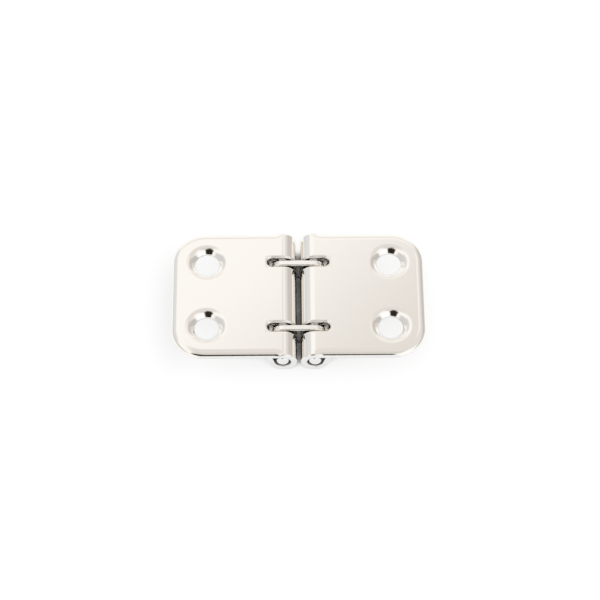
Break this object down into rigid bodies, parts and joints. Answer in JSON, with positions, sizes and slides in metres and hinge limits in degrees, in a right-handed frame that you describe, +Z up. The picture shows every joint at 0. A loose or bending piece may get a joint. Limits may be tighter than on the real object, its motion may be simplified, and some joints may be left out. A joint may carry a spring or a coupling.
{
  "type": "double-pin flap hinge",
  "caption": "Flat two-leaf hinge with rolled knuckles, joined by short links on twin pins so that the leaves fold face to face.",
  "frame": {"origin": "centre of the hinge in plan, on the surface that the two knuckles rest on", "axes": "+X across both leaves, +Y along the pins, +Z up out of the leaves' countersunk faces"},
  "size_m": [0.06, 0.034, 0.0068],
  "materials": {
    "leaf": "mirror-polished stainless sheet",
    "pin": "polished stainless rod",
    "link": "polished stainless plate"
  },
  "bodies": {
    "fixed_leaf": {"left_leaf": "leaf"},
    "links": {"front_link": "link", "rear_link": "link", "left_pin": "pin", "right_pin": "pin"},
    "folding_leaf": {"right_leaf": "leaf"}
  },
  "joints": [
    {"name": "left_pivot", "type": "hinge", "parent": "fixed_leaf", "child": "links", "pos_m": [-0.0038, 0, 0.0036], "axis": [0, -1, 0], "range_deg": [0, 90]},
    {"name": "right_pivot", "type": "hinge", "parent": "links", "child": "folding_leaf", "pos_m": [0.0038, 0, 0.0036], "axis": [0, -1, 0], "range_deg": [0, 90]}
  ]
}
